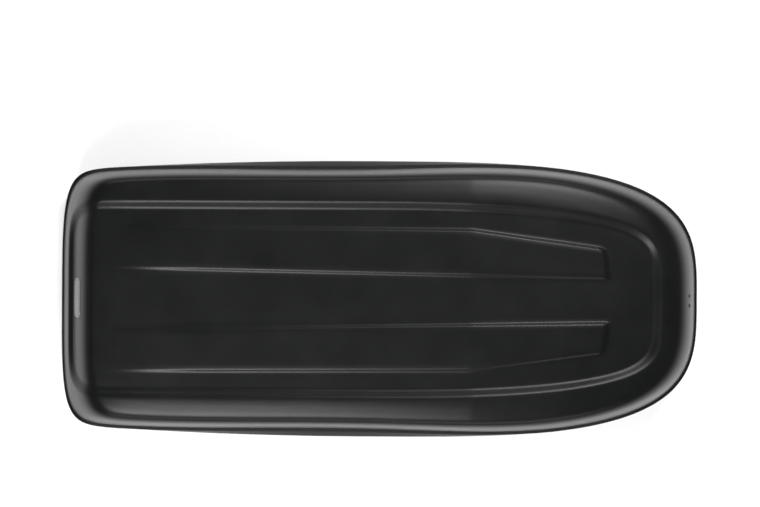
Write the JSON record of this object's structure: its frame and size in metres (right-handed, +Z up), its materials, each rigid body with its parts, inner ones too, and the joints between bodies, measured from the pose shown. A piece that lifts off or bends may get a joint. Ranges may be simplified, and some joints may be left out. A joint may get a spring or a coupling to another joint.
{
  "type": "roof cargo box",
  "caption": "Long black roof cargo box with a hinged moulded lid, gas struts, key lock with a sliding latch bar, and crossbar clamps under a shallow tub.",
  "frame": {"origin": "under the middle of the plan, at the lowest point of the crossbar clamps", "axes": "+X towards the vehicle nose, +Y to its left, +Z up"},
  "size_m": [1.9599, 0.8502, 0.426],
  "materials": {
    "lid_plastic": "grained black ABS",
    "base_plastic": "coarse black ABS",
    "grey_plastic": "moulded dark grey",
    "rubber": "matte",
    "aluminium": "extruded",
    "badge": "satin dark grey",
    "webbing": "woven nylon",
    "moulded_black": "moulded",
    "strut_paint": "black satin",
    "chrome": "polished",
    "lock_chrome": "satin",
    "dark_steel": "blackened",
    "zinc_steel": "zinc plated"
  },
  "bodies": {
    "base": {"base_edge_trim": "rubber", "base_locator_front": "grey_plastic", "base_locator_rear": "grey_plastic", "base_shell": "base_plastic", "clamp_housing_front_left": "moulded_black", "clamp_housing_front_right": "moulded_black", "clamp_housing_rear_left": "moulded_black", "clamp_housing_rear_right": "moulded_black", "clamp_jaw_pins": "zinc_steel", "clamp_load_plates": "zinc_steel", "clamp_pads": "rubber", "floor_rail_left": "aluminium", "floor_rail_right": "aluminium", "hinge_base_leaf_front": "dark_steel", "hinge_base_leaf_middle": "dark_steel", "hinge_base_leaf_rear": "dark_steel", "hinge_pins": "dark_steel", "hinge_screws": "dark_steel", "lock_bar_guides": "grey_plastic", "lock_housing": "lock_chrome", "luggage_strap_front": "webbing", "luggage_strap_rear": "webbing", "strap_anchors": "grey_plastic", "strap_buckle_front": "moulded_black", "strap_buckle_rear": "moulded_black", "strut_base_bracket_front": "zinc_steel", "strut_base_bracket_rear": "zinc_steel"},
    "lid": {"badge_plate": "badge", "end_locator_screws": "dark_steel", "hinge_lid_leaf_front": "dark_steel", "hinge_lid_leaf_middle": "dark_steel", "hinge_lid_leaf_rear": "dark_steel", "latch_keepers": "zinc_steel", "latch_striker_pins": "zinc_steel", "lid_frame": "grey_plastic", "lid_grab_handle": "moulded_black", "lid_locator_front": "grey_plastic", "lid_locator_rear": "grey_plastic", "lid_shell": "lid_plastic", "lid_stiffener_front": "aluminium", "lid_stiffener_middle": "aluminium", "lid_stiffener_rear": "aluminium", "strut_lid_bracket_front": "zinc_steel", "strut_lid_bracket_rear": "zinc_steel"},
    "lock": {"lock_cylinder": "lock_chrome", "key": "zinc_steel"},
    "lock_bar": {"lock_bar": "zinc_steel", "latch_tongues": "zinc_steel"},
    "clamp_jaw_front_left": {"clamp_jaw_front_left": "zinc_steel"},
    "clamp_jaw_front_right": {"clamp_jaw_front_right": "zinc_steel"},
    "clamp_jaw_rear_left": {"clamp_jaw_rear_left": "zinc_steel"},
    "clamp_jaw_rear_right": {"clamp_jaw_rear_right": "zinc_steel"},
    "clamp_knob_front_left": {"clamp_knob_front_left": "moulded_black"},
    "clamp_knob_front_right": {"clamp_knob_front_right": "moulded_black"},
    "clamp_knob_rear_left": {"clamp_knob_rear_left": "moulded_black"},
    "clamp_knob_rear_right": {"clamp_knob_rear_right": "moulded_black"},
    "strut_rod_front": {"strut_rod_front": "chrome"},
    "strut_rod_rear": {"strut_rod_rear": "chrome"},
    "strut_tube_front": {"strut_tube_front": "strut_paint"},
    "strut_tube_rear": {"strut_tube_rear": "strut_paint"}
  },
  "joints": [
    {"name": "lid_hinge", "type": "hinge", "parent": "base", "child": "lid", "pos_m": [0, -0.41, 0.15], "axis": [1, 0, 0], "range_deg": [0, 45]},
    {"name": "strut_front_swing", "type": "hinge", "parent": "base", "child": "strut_tube_front", "pos_m": [0.54, -0.11456, 0.09791], "axis": [1, 0, 0], "range_deg": [0, 22.5]},
    {"name": "strut_front_extend", "type": "slide", "parent": "strut_tube_front", "child": "strut_rod_front", "axis": [0, -0.284, 0.9588], "range_m": [0, 0.18521]},
    {"name": "strut_rear_swing", "type": "hinge", "parent": "base", "child": "strut_tube_rear", "pos_m": [-0.74, -0.11456, 0.09791], "axis": [1, 0, 0], "range_deg": [0, 22.5]},
    {"name": "strut_rear_extend", "type": "slide", "parent": "strut_tube_rear", "child": "strut_rod_rear", "axis": [0, -0.284, 0.9588], "range_m": [0, 0.18521]},
    {"name": "lock_turn", "type": "hinge", "parent": "base", "child": "lock", "pos_m": [-0.06, 0.4, 0.115], "axis": [0, 1, 0], "range_deg": [0, 90]},
    {"name": "lock_bar_slide", "type": "slide", "parent": "base", "child": "lock_bar", "axis": [1, 0, 0], "range_m": [0, 0.016]},
    {"name": "clamp_knob_front_left_turn", "type": "hinge", "parent": "base", "child": "clamp_knob_front_left", "pos_m": [0.38, 0.28, 0.07], "axis": [0, 0, 1], "range_deg": [0, 720]},
    {"name": "clamp_jaw_front_left_swing", "type": "hinge", "parent": "base", "child": "clamp_jaw_front_left", "pos_m": [0.324, 0.28, 0.05], "axis": [0, 1, 0], "range_deg": [0, 35]},
    {"name": "clamp_knob_front_right_turn", "type": "hinge", "parent": "base", "child": "clamp_knob_front_right", "pos_m": [0.38, -0.28, 0.07], "axis": [0, 0, 1], "range_deg": [0, 720]},
    {"name": "clamp_jaw_front_right_swing", "type": "hinge", "parent": "base", "child": "clamp_jaw_front_right", "pos_m": [0.324, -0.28, 0.05], "axis": [0, 1, 0], "range_deg": [0, 35]},
    {"name": "clamp_knob_rear_left_turn", "type": "hinge", "parent": "base", "child": "clamp_knob_rear_left", "pos_m": [-0.38, 0.28, 0.07], "axis": [0, 0, 1], "range_deg": [0, 720]},
    {"name": "clamp_jaw_rear_left_swing", "type": "hinge", "parent": "base", "child": "clamp_jaw_rear_left", "pos_m": [-0.436, 0.28, 0.05], "axis": [0, 1, 0], "range_deg": [0, 35]},
    {"name": "clamp_knob_rear_right_turn", "type": "hinge", "parent": "base", "child": "clamp_knob_rear_right", "pos_m": [-0.38, -0.28, 0.07], "axis": [0, 0, 1], "range_deg": [0, 720]},
    {"name": "clamp_jaw_rear_right_swing", "type": "hinge", "parent": "base", "child": "clamp_jaw_rear_right", "pos_m": [-0.436, -0.28, 0.05], "axis": [0, 1, 0], "range_deg": [0, 35]}
  ],
  "couplings": [
    {"joint": "strut_front_swing", "follows": "lid_hinge", "ratio": 0.5},
    {"joint": "strut_front_extend", "follows": "lid_hinge", "m_per_rad": 0.23569},
    {"joint": "strut_rear_swing", "follows": "lid_hinge", "ratio": 0.5},
    {"joint": "strut_rear_extend", "follows": "lid_hinge", "m_per_rad": 0.23569},
    {"joint": "lock_bar_slide", "follows": "lock_turn", "m_per_rad": 0.010186},
    {"joint": "clamp_jaw_front_left_swing", "follows": "clamp_knob_front_left_turn", "ratio": 0.04861},
    {"joint": "clamp_jaw_front_right_swing", "follows": "clamp_knob_front_right_turn", "ratio": 0.04861},
    {"joint": "clamp_jaw_rear_left_swing", "follows": "clamp_knob_rear_left_turn", "ratio": 0.04861},
    {"joint": "clamp_jaw_rear_right_swing", "follows": "clamp_knob_rear_right_turn", "ratio": 0.04861}
  ]
}
